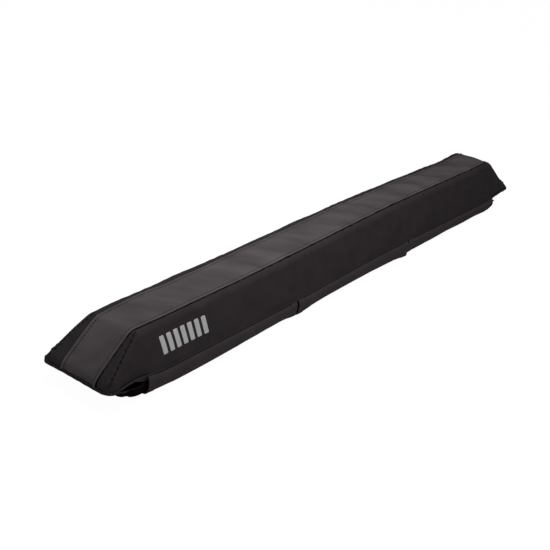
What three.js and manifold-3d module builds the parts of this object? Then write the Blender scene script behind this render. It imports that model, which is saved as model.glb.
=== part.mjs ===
// A padded sleeve for a roof bar: a bevelled foam block in a sewn cover, and three pairs of flaps
// that close round the bar beneath it with hook and loop tape. Millimetres, X along the bar, +Z up.
import * as THREE from 'three';
import Module from 'manifold-3d';
import { mergeVertices } from 'three/addons/utils/BufferGeometryUtils.js';

const wasm = await Module();
wasm.setup();

// The cover, from hem to hem
const padLength = 762;
const hemWidth = 87.4;
const coverHeight = 42.2;
const stripWidth = 41.9;
const seamLand = 0.6;
const endRun = 40;
const endFullness = 1.6;
const shoulderRadius = 5;
const topCrown = 0.8;
const sideCrown = 0.9;
const hemCorner = 7;
const hemRim = 2.2;

// Thickness of each material, and the room left between pieces that touch
const coverFabric = 1.2;
const baseFabric = 1.5;
const flapFabric = 1.2;
const hookTape = 0.9;
const loopTape = 1.2;
const bindingTape = 1;
const hemTape = 0.8;
const clearance = 0.3;
const loopClearance = 0.4;

// The foam stops short of the hem, where its bevel has thinned to an edge
const foamEndSetback = 7;
const foamSideSetback = 4.4;

// The flaps, three along each side, and the tunnel that they close
const flapsPerSide = 3;
const flapDrop = 18.5;
const flapGap = 3;
const flapBulge = 3;
const flapFloorTurn = 5.6;
const flapCorner = 12;
const innerFlapCorner = 19;
const outerFlapSetback = 45;
const outerFlapReach = 26;
const innerFlapSetback = 19;
const innerFlapRise = 7;
const innerFlapTurn = 7.6;
const innerFlapFromWall = 1;

// Hook tape on the outer flaps, loop tape on the inner ones
const hookWidth = 22;
const hookEdgeMargin = 2;
const hookEndMargin = 6;
const loopWidth = 62;
const loopEdgeMargin = 2.5;
const loopEndMargin = 5;

// The bound edge at each end, and the tape along the flap seams
const bindingLeg = 5;
const bindingTail = 6;
const hemTapeWidth = 5;
const hemTapeDrop = 4.5;
const hemTapeOverrun = 15;

// How finely the curved surfaces are faceted
const endSteps = 9;
const bodySteps = 12;
const cornerSteps = 4;
const wallSteps = 7;
const curlSteps = 5;
const shortestCurl = 3;
const fallShares = [0.25, 0.5, 0.75, 0.94, 1];

// Levels and edges worked out from the sizes above
const hemLevel = flapDrop;
const bindingBuild = bindingTape + clearance;
const coverHalfLength = padLength / 2 - bindingBuild;
const hemHalf = hemWidth / 2;
const seamHalf = stripWidth / 2;
const hemLip = baseFabric + clearance + coverFabric;
const roundHeight = coverHeight - hemLip - shoulderRadius;
const roundReach = hemHalf - hemRim - seamHalf - seamLand;
const sideLean = Math.atan2(roundReach, roundHeight) - Math.asin(shoulderRadius / Math.hypot(roundReach, roundHeight));
const flapTop = hemLevel - clearance;
const flapTopHalf = hemHalf - clearance * 2;
const innerFloor = flapFabric + hookTape + loopTape + clearance * 2 + loopClearance;

const topStripMaterial = new THREE.MeshStandardMaterial({ color: 0x343335, roughness: 0.62, metalness: 0 });
const sidePanelMaterial = new THREE.MeshStandardMaterial({ color: 0x232224, roughness: 0.78, metalness: 0 });
const flapMaterial = new THREE.MeshStandardMaterial({ color: 0x262527, roughness: 0.8, metalness: 0 });
const baseMaterial = new THREE.MeshStandardMaterial({ color: 0x19191a, roughness: 0.85, metalness: 0 });
const foamMaterial = new THREE.MeshStandardMaterial({ color: 0x3a3b3d, roughness: 0.95, metalness: 0 });
const bindingMaterial = new THREE.MeshStandardMaterial({ color: 0x1a1717, roughness: 0.8, metalness: 0 });
const hookMaterial = new THREE.MeshStandardMaterial({ color: 0x141414, roughness: 0.7, metalness: 0 });
const loopMaterial = new THREE.MeshStandardMaterial({ color: 0x1c1613, roughness: 1, metalness: 0 });

// Turns a closed mesh outside out where its faces were laid the wrong way round
function facingOut(positions, triangles) {
  let volume = 0;
  const corner = (index) => new THREE.Vector3().fromArray(positions, index * 3);
  for (let i = 0; i < triangles.length; i += 3) {
    const [a, b, c] = [corner(triangles[i]), corner(triangles[i + 1]), corner(triangles[i + 2])];
    volume += a.dot(b.cross(c));
  }
  if (volume < 0) triangles.reverse();
  const geometry = new THREE.BufferGeometry();
  geometry.setAttribute('position', new THREE.Float32BufferAttribute(positions, 3));
  geometry.setIndex(triangles);
  geometry.computeVertexNormals();
  return geometry;
}

// A closed solid between two grids of points, one for each face of a sheet
function solidBetween(upper, lower) {
  const rows = upper.length;
  const columns = upper[0].length;
  const positions = [...upper.flat(), ...lower.flat()].flatMap((point) => [point.x, point.y, point.z]);
  const at = (face, row, column) => face * rows * columns + row * columns + column;
  const triangles = [];
  const quad = (a, b, c, d) => triangles.push(a, b, c, a, c, d);
  for (let r = 0; r < rows - 1; r++) {
    for (let c = 0; c < columns - 1; c++) {
      quad(at(0, r, c), at(0, r, c + 1), at(0, r + 1, c + 1), at(0, r + 1, c));
      quad(at(1, r, c), at(1, r + 1, c), at(1, r + 1, c + 1), at(1, r, c + 1));
    }
    quad(at(0, r, 0), at(0, r + 1, 0), at(1, r + 1, 0), at(1, r, 0));
    quad(at(0, r, columns - 1), at(1, r, columns - 1), at(1, r + 1, columns - 1), at(0, r + 1, columns - 1));
  }
  for (let c = 0; c < columns - 1; c++) {
    quad(at(0, 0, c), at(1, 0, c), at(1, 0, c + 1), at(0, 0, c + 1));
    quad(at(0, rows - 1, c), at(0, rows - 1, c + 1), at(1, rows - 1, c + 1), at(1, rows - 1, c));
  }
  return facingOut(positions, triangles);
}

// Even steps from one value to another, both ends included
function steps(from, to, count) {
  return Array.from({ length: count + 1 }, (_, i) => from + ((to - from) * i) / count);
}

// How far a round corner cuts back an edge, at a distance from the corner's side
function cornerCut(distance, radius) {
  if (distance >= radius) return 0;
  return radius - Math.sqrt(Math.max(0, radius ** 2 - (radius - distance) ** 2));
}

// Stations along the pad: the rim, the bevelled end finely, then the body in long steps
function stations() {
  const bevel = steps(0, 1, endSteps).map((share) => coverHalfLength - hemRim - endRun * share ** 1.3);
  const body = steps(coverHalfLength - hemRim - endRun, 0, bodySteps / 2).slice(1);
  const rim = steps(0, 1, cornerSteps / 2).slice(0, -1).map((share) => coverHalfLength - hemRim * share);
  const half = [...rim, ...bevel, ...body];
  return [...half, ...half.slice(0, -1).reverse().map((x) => -x)];
}

// Height of the cover's outer face over the hem at a station
function topHeight(x) {
  const fromRim = coverHalfLength - hemRim - Math.abs(x);
  const share = THREE.MathUtils.clamp(fromRim / endRun, 0, 1);
  const rise = 1 - (1 - share) ** endFullness;
  return hemLip + (coverHeight - hemLip) * rise;
}

// Half the width, at a station, of the hem's round-cornered outline set in by an amount
function outlineHalfAt(x, inset) {
  const fromEnd = Math.max(coverHalfLength - inset - Math.abs(x), 0);
  return hemHalf - inset - cornerCut(fromEnd, hemCorner - inset);
}

// The top strip's line across the pad, with a slight crown
function stripLine(x, seam) {
  const height = topHeight(x);
  return steps(-seam, seam, 4).map((y) => {
    const crown = topCrown * (1 - (y / seamHalf) ** 2) * (height / coverHeight);
    return new THREE.Vector3(x, y, hemLevel + height + crown);
  });
}

// One side panel's line from the strip's seam to the hem: wing, round hip, side and rim
function sideLine(x, side) {
  const height = topHeight(x);
  const hem = outlineHalfAt(x, 0);
  const foot = outlineHalfAt(x, hemRim);
  const rise = height - hemLip;
  const hip = foot - Math.tan(sideLean) * rise;
  const turn = Math.PI / 2 - sideLean;
  const radius = Math.min(shoulderRadius, rise * 0.45);
  const back = radius * Math.tan(turn / 2);
  const centreY = hip - back;
  const centreZ = height - radius;
  const wing = steps(seamHalf + clearance / 2, centreY, 3).map((y) => [y, height]);
  const round = steps(0, turn, 4).slice(1).map((angle) => [
    centreY + radius * Math.sin(angle),
    centreZ + radius * Math.cos(angle),
  ]);
  const [roundY, roundZ] = round[round.length - 1];
  const fall = fallShares.map((share) => {
    const crown = sideCrown * Math.sin(Math.PI * share) * (rise / (coverHeight - hemLip));
    return [roundY + (foot - roundY) * share + crown, roundZ + (hemLip - roundZ) * share];
  });
  const bent = [...wing, ...round, ...fall];
  const flat = steps(seamHalf + clearance / 2, foot, bent.length - 1);
  const flatness = THREE.MathUtils.clamp(1 - rise / hemLip, 0, 1);
  const line = bent.map(([y, z], i) => [
    THREE.MathUtils.lerp(y, flat[i], flatness),
    THREE.MathUtils.lerp(z, height, flatness),
  ]);
  line.push([hem, hemLip]);
  return line.map(([y, z]) => new THREE.Vector3(x, side * y, hemLevel + z));
}

// The direction square to a grid of points, at one of them
function squareTo(grid, r, c) {
  const near = (list, index) => list[THREE.MathUtils.clamp(index, 0, list.length - 1)];
  const along = near(grid, r + 1)[c].clone().sub(near(grid, r - 1)[c]);
  const across = near(grid[r], c + 1).clone().sub(near(grid[r], c - 1));
  return along.cross(across).normalize();
}

// A grid of points moved in from the cover's outer face, square to it
function setIn(grid, depth) {
  const facing = Math.sign(squareTo(grid, Math.floor(grid.length / 2), 0).z);
  return grid.map((row, r) => row.map((point, c) => (
    point.clone().addScaledVector(squareTo(grid, r, c), -facing * depth)
  )));
}

// The strip that runs over the top and down both ends, in one piece
function topPanel() {
  const outer = stations().map((x) => stripLine(x, seamHalf - clearance / 2));
  return solidBetween(outer, setIn(outer, coverFabric));
}

// A side with a wing at each end that wraps the corner and meets the strip
function sidePanel(side) {
  const outer = stations().map((x) => sideLine(x, side));
  return solidBetween(outer, setIn(outer, coverFabric));
}

// A geometry's closed mesh as a solid that can be cut
function asSolid(geometry) {
  const bare = geometry.clone();
  bare.deleteAttribute('normal');
  bare.deleteAttribute('uv');
  const merged = mergeVertices(bare, 1e-4);
  return new wasm.Manifold(new wasm.Mesh({
    numProp: 3,
    vertProperties: merged.attributes.position.array,
    triVerts: new Uint32Array(merged.index.array),
  }));
}

function asGeometry(solid) {
  const mesh = solid.getMesh();
  const geometry = new THREE.BufferGeometry();
  geometry.setAttribute('position', new THREE.BufferAttribute(mesh.vertProperties, 3));
  geometry.setIndex(new THREE.BufferAttribute(mesh.triVerts, 1));
  geometry.computeVertexNormals();
  return geometry;
}

// The foam block fills the cover and is bevelled like it, with its thin lower edge trimmed square
function foamCore() {
  const floor = hemLevel + baseFabric + clearance;
  const cover = stations().map((x) => [
    ...sideLine(x, -1).reverse(),
    ...stripLine(x, seamHalf * 0.6),
    ...sideLine(x, 1),
  ]);
  const inside = setIn(cover, coverFabric + clearance);
  const upper = inside.map((row) => row.filter((point, c) => c % 2 === 0));
  const lower = upper.map((row) => row.map((point) => point.clone().setZ(-coverHeight)));
  const length = 2 * (coverHalfLength - foamEndSetback);
  const block = new THREE.BoxGeometry(length, 2 * (hemHalf - foamSideSetback), coverHeight);
  block.translate(0, 0, floor + coverHeight / 2);
  return asGeometry(asSolid(solidBetween(upper, lower)).intersect(asSolid(block)));
}

// The pad's outline at the hem
function hemOutline() {
  const x = coverHalfLength;
  const y = hemHalf;
  const r = hemCorner;
  const outline = new THREE.Shape();
  outline.moveTo(x - r, -y);
  outline.absarc(x - r, -y + r, r, -Math.PI / 2, 0);
  outline.absarc(x - r, y - r, r, 0, Math.PI / 2);
  outline.absarc(-x + r, y - r, r, Math.PI / 2, Math.PI);
  outline.absarc(-x + r, -y + r, r, Math.PI, Math.PI * 1.5);
  outline.closePath();
  return outline;
}

// The flat panel under the foam, which lies on the bar
function basePanel() {
  const geometry = new THREE.ExtrudeGeometry(hemOutline(), { depth: baseFabric, bevelEnabled: false, curveSegments: 6 });
  return geometry.translate(0, 0, hemLevel);
}

// The line that an outer flap follows across the pad: down from the near hem and along the floor
function outerFlapLine() {
  const path = new THREE.CurvePath();
  const wallFoot = flapTopHalf - flapFloorTurn;
  path.add(new THREE.CubicBezierCurve(
    new THREE.Vector2(-flapTopHalf, flapTop),
    new THREE.Vector2(-flapTopHalf - flapBulge * 1.8, flapTop * 0.85),
    new THREE.Vector2(-flapTopHalf - flapBulge, 0),
    new THREE.Vector2(-wallFoot, 0),
  ));
  path.add(new THREE.LineCurve(new THREE.Vector2(-wallFoot, 0), new THREE.Vector2(outerFlapReach, 0)));
  return path;
}

// The line of an inner flap: down from the far hem, under the bar, and up inside the outer flap
function innerFlapLine() {
  const path = new THREE.CurvePath();
  const wallFoot = flapTopHalf - flapFloorTurn;
  const edge = flapTopHalf - innerFlapFromWall;
  const turn = edge - innerFlapTurn;
  path.add(new THREE.CubicBezierCurve(
    new THREE.Vector2(flapTopHalf, flapTop),
    new THREE.Vector2(flapTopHalf + flapBulge * 1.8, flapTop * 0.85),
    new THREE.Vector2(flapTopHalf + flapBulge, innerFloor),
    new THREE.Vector2(wallFoot, innerFloor),
  ));
  path.add(new THREE.LineCurve(new THREE.Vector2(wallFoot, innerFloor), new THREE.Vector2(-turn, innerFloor)));
  path.add(new THREE.CubicBezierCurve(
    new THREE.Vector2(-turn, innerFloor),
    new THREE.Vector2(-edge + innerFlapTurn * 0.4, innerFloor),
    new THREE.Vector2(-edge, innerFloor + innerFlapRise * 0.35),
    new THREE.Vector2(-edge, innerFloor + innerFlapRise),
  ));
  return path;
}

// A point on a flap's line at a length along it, pushed off its outer face towards the bar
function onLine(line, length, inward, towardBar) {
  const share = THREE.MathUtils.clamp(length / line.getLength(), 0, 1);
  const point = line.getPointAt(share);
  const tangent = line.getTangentAt(share);
  const normal = new THREE.Vector2(-tangent.y, tangent.x).multiplyScalar(towardBar);
  return point.addScaledVector(normal, inward);
}

// A sheet along a flap's line, with round corners at its free edge. Its rows stand at given lengths
// along the line, and the last few share out the stretch up to the free edge, its curl.
function alongLine(line, towardBar, spec) {
  const { left, right, end, inward, thickness, corner, lengths, edgeRows } = spec;
  const offsets = steps(0, Math.PI / 2, cornerSteps).map((angle) => corner * (1 - Math.cos(angle)));
  const middle = steps(left + corner, right - corner, 4).slice(1, -1);
  const xs = [
    ...offsets.map((offset) => left + offset),
    ...middle,
    ...offsets.map((offset) => right - offset).reverse(),
  ];
  const face = (depth) => xs.map((x) => {
    const edge = end - cornerCut(Math.min(x - left, right - x), corner);
    const last = Math.min(lengths[lengths.length - 1], edge - shortestCurl);
    const rows = [...lengths.slice(0, -1), ...steps(last, edge, edgeRows)];
    return rows.map((length) => {
      const point = onLine(line, length, depth, towardBar);
      return new THREE.Vector3(x, point.x, point.y);
    });
  });
  return solidBetween(face(inward + thickness), face(inward));
}

// Left and right ends of each flap on one side
function flapSpans(setback) {
  const reach = padLength / 2 - setback;
  const width = (2 * reach - flapGap * (flapsPerSide - 1)) / flapsPerSide;
  return Array.from({ length: flapsPerSide }, (_, i) => {
    const left = -reach + i * (width + flapGap);
    return { left, right: left + width };
  });
}

const outerLine = outerFlapLine();
const innerLine = innerFlapLine();
const outerLength = outerLine.getLength();
const innerLength = innerLine.getLength();
const outerWall = outerLine.curves[0].getLength();
const innerWall = innerLine.curves[0].getLength();
const innerCurlStart = innerLength - innerLine.curves[2].getLength();

function outerFlap({ left, right }) {
  return alongLine(outerLine, 1, {
    left,
    right,
    end: outerLength,
    inward: 0,
    thickness: flapFabric,
    corner: flapCorner,
    lengths: steps(0, outerWall, wallSteps),
    edgeRows: 2,
  });
}

function innerFlap({ left, right }) {
  return alongLine(innerLine, -1, {
    left,
    right,
    end: innerLength,
    inward: 0,
    thickness: flapFabric,
    corner: innerFlapCorner,
    lengths: [...steps(0, innerWall, wallSteps), innerCurlStart],
    edgeRows: curlSteps,
  });
}

// Hook tape on the inner face of an outer flap, along its free edge
function hookStrip({ left, right }) {
  const end = outerLength - hookEdgeMargin;
  return alongLine(outerLine, 1, {
    left: left + hookEndMargin,
    right: right - hookEndMargin,
    end,
    inward: flapFabric + clearance,
    thickness: hookTape,
    corner: flapCorner / 2,
    lengths: [end - hookWidth],
    edgeRows: 1,
  });
}

// Loop tape on the outer face of an inner flap, up to its free edge
function loopPatch({ left, right }) {
  const end = innerLength - loopEdgeMargin;
  return alongLine(innerLine, -1, {
    left: left + loopEndMargin,
    right: right - loopEndMargin,
    end,
    inward: -loopClearance - loopTape,
    thickness: loopTape,
    corner: innerFlapCorner - loopEdgeMargin,
    lengths: [end - loopWidth, innerCurlStart],
    edgeRows: curlSteps,
  });
}

// The folded tape that binds the hem across one end and round its two corners
function endBinding(end) {
  const straight = coverHalfLength - hemCorner - bindingTail;
  const cornerX = coverHalfLength - hemCorner;
  const cornerY = hemHalf - hemCorner;
  const arc = (side) => steps(0, Math.PI / 2, cornerSteps + 2).map((angle) => ({
    x: cornerX + hemCorner * Math.sin(angle),
    y: side * (cornerY + hemCorner * Math.cos(angle)),
    out: new THREE.Vector2(Math.sin(angle), side * Math.cos(angle)),
  }));
  const tail = (side) => ({ x: straight, y: side * hemHalf, out: new THREE.Vector2(0, side) });
  const route = [tail(-1), ...arc(-1), ...arc(1).reverse(), tail(1)];
  const below = -clearance - bindingTape;
  const above = hemLip + clearance + bindingTape;
  const outside = clearance + bindingTape;
  const section = [
    [-bindingLeg, below],
    [outside - bindingTape * 0.3, below],
    [outside, below + bindingTape * 0.3],
    [outside, above - bindingTape * 0.3],
    [outside - bindingTape * 0.3, above],
    [-hemRim + clearance, above],
    [-hemRim + clearance, hemLip + clearance],
    [clearance, hemLip + clearance],
    [clearance, -clearance],
    [-bindingLeg, -clearance],
  ];
  const rings = route.map(({ x, y, out }) => section.map(([reach, z]) => new THREE.Vector3(
    end * (x + out.x * reach),
    y + out.y * reach,
    hemLevel + z,
  )));
  return closedSweep(rings, section);
}

// A solid through rings of the same section, with flat caps cut as that section is
function closedSweep(rings, section) {
  const size = section.length;
  const positions = rings.flat().flatMap((point) => [point.x, point.y, point.z]);
  const triangles = [];
  for (let r = 0; r < rings.length - 1; r++) {
    for (let i = 0; i < size; i++) {
      const j = (i + 1) % size;
      const [a, b, c, d] = [r * size + i, r * size + j, (r + 1) * size + j, (r + 1) * size + i];
      triangles.push(a, b, c, a, c, d);
    }
  }
  const cap = THREE.ShapeUtils.triangulateShape(section.map(([u, v]) => new THREE.Vector2(u, v)), []);
  const last = (rings.length - 1) * size;
  cap.forEach(([a, b, c]) => triangles.push(c, b, a, last + a, last + b, last + c));
  return facingOut(positions, triangles);
}

// The tape inside the tunnel that covers one side's flap seam and hangs below it
function hemSeamTape(side, setback) {
  const reach = padLength / 2 - setback;
  const top = hemLevel - clearance;
  const outer = flapTopHalf - flapFabric - clearance;
  const section = [
    [outer, top],
    [outer - hemTapeWidth, top],
    [outer - hemTapeWidth, top - hemTape],
    [outer - hemTape, top - hemTape],
    [outer - hemTape, top - hemTapeDrop],
    [outer, top - hemTapeDrop],
  ];
  const rings = [-reach, reach].map((x) => section.map(([y, z]) => new THREE.Vector3(x, side * y, z)));
  return closedSweep(rings, section);
}

const pad = new THREE.Group();

function addPiece(name, geometry, material) {
  const mesh = new THREE.Mesh(geometry, material);
  mesh.name = name;
  pad.add(mesh);
}

addPiece('foam_core', foamCore(), foamMaterial);
addPiece('top_panel', topPanel(), topStripMaterial);
addPiece('near_side_panel', sidePanel(-1), sidePanelMaterial);
addPiece('far_side_panel', sidePanel(1), sidePanelMaterial);
addPiece('base_panel', basePanel(), baseMaterial);
addPiece('left_end_binding', endBinding(-1), bindingMaterial);
addPiece('right_end_binding', endBinding(1), bindingMaterial);
addPiece('near_hem_tape', hemSeamTape(-1, outerFlapSetback - hemTapeOverrun), bindingMaterial);
addPiece('far_hem_tape', hemSeamTape(1, innerFlapSetback), bindingMaterial);
flapSpans(outerFlapSetback).forEach((span, i) => {
  addPiece(`outer_flap_${i + 1}`, outerFlap(span), flapMaterial);
  addPiece(`hook_strip_${i + 1}`, hookStrip(span), hookMaterial);
});
flapSpans(innerFlapSetback).forEach((span, i) => {
  addPiece(`inner_flap_${i + 1}`, innerFlap(span), flapMaterial);
  addPiece(`loop_patch_${i + 1}`, loopPatch(span), loopMaterial);
});

export default pad;
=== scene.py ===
# A roof bar pad: a bevelled foam block in a sewn cover, with flaps closed round the bar beneath it.
# Metres, X along the bar, +Z up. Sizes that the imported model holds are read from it.
import math

import bpy
import numpy as np
from mathutils import Matrix, Vector


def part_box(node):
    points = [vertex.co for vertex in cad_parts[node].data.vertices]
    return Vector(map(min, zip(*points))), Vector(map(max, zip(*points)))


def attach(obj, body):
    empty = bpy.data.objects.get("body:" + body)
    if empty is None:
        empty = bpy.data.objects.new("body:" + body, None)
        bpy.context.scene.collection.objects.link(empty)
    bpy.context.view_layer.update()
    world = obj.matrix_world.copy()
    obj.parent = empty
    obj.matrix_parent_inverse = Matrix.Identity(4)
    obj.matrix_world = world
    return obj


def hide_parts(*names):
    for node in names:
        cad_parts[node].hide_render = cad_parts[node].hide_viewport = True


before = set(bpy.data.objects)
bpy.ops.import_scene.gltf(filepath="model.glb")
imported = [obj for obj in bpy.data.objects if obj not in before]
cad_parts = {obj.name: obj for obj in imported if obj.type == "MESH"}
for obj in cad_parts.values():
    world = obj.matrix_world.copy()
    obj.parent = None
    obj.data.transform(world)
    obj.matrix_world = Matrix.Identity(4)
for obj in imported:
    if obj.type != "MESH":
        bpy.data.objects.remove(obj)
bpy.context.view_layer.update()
collection = bpy.context.scene.collection
print("frame loaded")


# Shapes of curves and waves

def smoothStep(low, high, value):
    share = np.clip((value - low) / (high - low), 0, 1)
    return share * share * (3 - 2 * share)


def bell(value, centre, halfWidth):
    return np.exp(-((value - centre) / halfWidth) ** 2)


def ripples(x, y, lengthX, lengthY, seed, count=7):
    draw = np.random.default_rng(seed)
    total = 0 * (x + y)
    for _ in range(count):
        turnX = 2 * math.pi / (lengthX * draw.uniform(0.6, 1.7)) * draw.choice([-1, 1])
        turnY = 2 * math.pi / (lengthY * draw.uniform(0.6, 1.7))
        total = total + np.sin(x * turnX + y * turnY + draw.uniform(0, 2 * math.pi))
    return total / math.sqrt(count)


def cornerCut(distance, radius):
    left = np.clip(radius - distance, 0, radius)
    return radius - np.sqrt(np.maximum(radius ** 2 - left ** 2, 0))


# How the soft pad wanders from straight along its length: its top edges, its hem, and its corners
bowForm = {
    "places": (-0.380, -0.335, -0.305, -0.275, -0.250, -0.190, -0.125, -0.055, 0.030,
               0.100, 0.170, 0.240, 0.300, 0.345, 0.380),
    "nearTop": (0.0, 0.0005, -0.0002, -0.0003, -0.0003, -0.0006, 0.0001, 0.0015, 0.0033,
                0.0042, 0.0033, 0.0022, 0.0014, 0.0020, 0.0010),
    "farTop": (-0.0008, -0.0032, -0.0007, -0.0004, -0.0020, -0.0016, -0.0004, -0.0005, 0.0015,
               -0.0004, -0.0001, -0.0030, -0.0040, -0.0014, -0.0010),
    "hem": (-0.0002, 0.0006, 0.0004, 0.0002, -0.0001, -0.0009, -0.0013, 0.0, 0.0011,
            0.0008, -0.0003, -0.0020, -0.0030, -0.0026, -0.0005),
    "smoothing": 0.008,
    "endReach": (-0.345, -0.378),
    "endAcross": (-0.042, -0.030, 0.030),
    "endLow": 0.0016,
    "endDroop": 0.0010,
    "cornerAt": (-0.376, 0.040),
    "cornerSize": 0.013,
    "cornerOut": (-0.0016, 0.0014),
    "riseAt": (-0.379, 0.0415),
    "riseSize": 0.0065,
    "riseOverRim": (0.0010, 0.0034),
    "cornerRise": 0.0026,
    "farBendReach": (0.300, 0.338),
    "farBendOut": 0.0066,
    "tipAt": (0.376, -0.040),
    "tipOut": (0.0016, -0.0010),
    "tipLift": 0.0030,
    "mouthAt": -0.354,
    "mouthSize": 0.026,
    "mouthAcross": (-0.022, -0.042),
    "mouthLift": 0.0039,
    "mouthIn": 0.0008,
}


def wander(x, values):
    form = bowForm
    offsets = np.linspace(-1, 1, 5) * form["smoothing"]
    return sum(np.interp(x + offset, form["places"], values) for offset in offsets) / len(offsets)


def roundSpot(x, y, spot, size):
    return bell(np.hypot(x - spot[0], y - spot[1]), 0, size)


def bowed(points):
    form = bowForm
    x, y, z = points[..., 0], points[..., 1], points[..., 2]
    farShare = smoothStep(-seamHalf, seamHalf, y)
    top = wander(x, form["nearTop"]) * (1 - farShare) + wander(x, form["farTop"]) * farShare
    hem = wander(x, form["hem"])
    low = np.clip(z / hemLevel, 0, 1)
    high = np.clip((z - hemLevel) / coverHeight, 0, 1)
    atHem = low * (1 - high) ** 2
    nearEdge, nearIn, farIn = form["endAcross"]
    droop = form["endLow"] * smoothStep(nearEdge, nearIn, y)
    droop = droop + form["endDroop"] * smoothStep(nearIn, farIn, y)
    corner = atHem * roundSpot(x, y, form["cornerAt"], form["cornerSize"])
    tip = atHem * roundSpot(x, y, form["tipAt"], form["cornerSize"])
    mouth = atHem * bell(x, form["mouthAt"], form["mouthSize"]) * smoothStep(*form["mouthAcross"], y)
    overRim = smoothStep(*form["riseOverRim"], z - hemLevel) * (1 - high) ** 2
    rise = overRim * roundSpot(x, y, form["riseAt"], form["riseSize"])
    farBend = high * farShare * smoothStep(*form["farBendReach"], x)
    lift = hem * (low - high) + top * high
    lift = lift - droop * atHem * smoothStep(*form["endReach"], x)
    lift = lift + form["mouthLift"] * mouth + form["tipLift"] * tip + form["cornerRise"] * rise
    newX = x + form["cornerOut"][0] * corner + form["tipOut"][0] * tip + form["farBendOut"] * farBend
    newY = y + form["cornerOut"][1] * corner + form["tipOut"][1] * tip + form["mouthIn"] * mouth
    return np.stack([newX, newY, z + lift], axis=-1)


# Meshes from grids of points

def squareTo(grid):
    along = np.gradient(grid, axis=0)
    across = np.gradient(grid, axis=1)
    normal = np.cross(along, across)
    length = np.linalg.norm(normal, axis=2, keepdims=True)
    return normal / np.maximum(length, 1e-12)


def outwardFrom(grid, axisHeight):
    normal = squareTo(grid)
    away = grid - np.array([0, 0, axisHeight])
    facing = (normal * away)[..., 1:].sum()
    return normal if facing > 0 else -normal


def meshPiece(name, points, faces, cloth, material):
    mesh = bpy.data.meshes.new(name)
    mesh.from_pydata(bowed(points).tolist(), [], faces)
    corners = np.empty(len(mesh.loops), dtype=np.int32)
    mesh.loops.foreach_get("vertex_index", corners)
    layer = mesh.uv_layers.new(name="cloth")
    layer.data.foreach_set("uv", cloth.reshape(-1, 2)[corners].ravel())
    mesh.shade_smooth()
    mesh.materials.append(material)
    piece = bpy.data.objects.new(name, mesh)
    collection.objects.link(piece)
    return piece


# Faces of a closed sheet of grid points: its front, its back, and the rim between them
def sheetFaces(rows, columns):
    count = rows * columns
    index = np.arange(count).reshape(rows, columns)
    quads = np.stack([index[:-1, :-1], index[1:, :-1], index[1:, 1:], index[:-1, 1:]], axis=-1)
    quads = quads.reshape(-1, 4)
    around = np.concatenate([index[:, 0], index[-1, 1:], index[-2::-1, -1], index[0, -2:0:-1]])
    following = np.roll(around, -1)
    rim = np.stack([following, around, around + count, following + count], axis=-1)
    return np.concatenate([quads, quads[:, ::-1] + count, rim])


def closedSheet(name, outer, inner, cloth, material):
    faces = sheetFaces(*outer.shape[:2])
    if ((outer - inner) * squareTo(outer)).sum() < 0:
        faces = faces[:, ::-1]
    points = np.concatenate([outer.reshape(-1, 3), inner.reshape(-1, 3)])
    return meshPiece(name, points, faces.tolist(), np.concatenate([cloth.reshape(-1, 2)] * 2), material)


# A layer of cloth on an outer face, with its free edges rounded over
def layerUnder(outer, normal, thickness, fromEdge):
    half = thickness / 2
    near = np.clip(half - fromEdge, 0, half)
    drop = 0.9 * (half - np.sqrt(np.maximum(half ** 2 - near ** 2, 0)))
    return outer - normal * drop[..., None], outer - normal * (thickness - drop)[..., None]


def lengthAlong(line):
    return np.r_[0, np.cumsum(np.linalg.norm(np.diff(line, axis=0), axis=1))]


def tubeAlong(name, rings, material, pitch=0.001):
    count, size = rings.shape[:2]
    index = np.arange(count * size).reshape(count, size)
    turned = np.roll(index, -1, axis=1)
    quads = np.stack([index[:-1], turned[:-1], turned[1:], index[1:]], axis=-1).reshape(-1, 4).tolist()
    caps = [index[0, ::-1].tolist(), index[-1].tolist()]
    length = lengthAlong(rings[:, 0])
    cloth = np.stack(np.broadcast_arrays(length[:, None], np.arange(size)[None] * pitch), axis=-1)
    return meshPiece(name, rings.reshape(-1, 3), quads + caps, cloth, material)


def ridesOnPad(piece, slotName, *nodes):
    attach(piece, "root")
    if nodes:
        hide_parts(*nodes)


# Materials

def startMaterial(name):
    material = bpy.data.materials.new(name)
    material.use_nodes = True
    tree = material.node_tree
    return material, tree, tree.nodes["Principled BSDF"]


def mathNode(tree, operation, first, second=None):
    node = tree.nodes.new("ShaderNodeMath")
    node.operation = operation
    for socket, value in zip(node.inputs, (first, second)):
        if value is None:
            continue
        if isinstance(value, (int, float)):
            socket.default_value = value
        else:
            tree.links.new(value, socket)
    return node.outputs[0]


def noiseNode(tree, source, scale, detail=3.0, roughness=0.5):
    node = tree.nodes.new("ShaderNodeTexNoise")
    node.inputs["Scale"].default_value = scale
    node.inputs["Detail"].default_value = detail
    node.inputs["Roughness"].default_value = roughness
    tree.links.new(source, node.inputs["Vector"])
    return node.outputs["Fac"]


# Each colour is written out, or comes from another node
def mixColours(tree, factor, first, second):
    node = tree.nodes.new("ShaderNodeMix")
    node.data_type = "RGBA"
    tree.links.new(factor, node.inputs[0])
    for socket, colour in zip((node.inputs[6], node.inputs[7]), (first, second)):
        if isinstance(colour, tuple):
            socket.default_value = (*colour, 1)
        else:
            tree.links.new(colour, socket)
    return node.outputs[2]


def clothCoordinates(tree):
    node = tree.nodes.new("ShaderNodeUVMap")
    node.uv_map = "cloth"
    return node.outputs["UV"]


def objectCoordinates(tree):
    return tree.nodes.new("ShaderNodeTexCoord").outputs["Object"]


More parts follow.
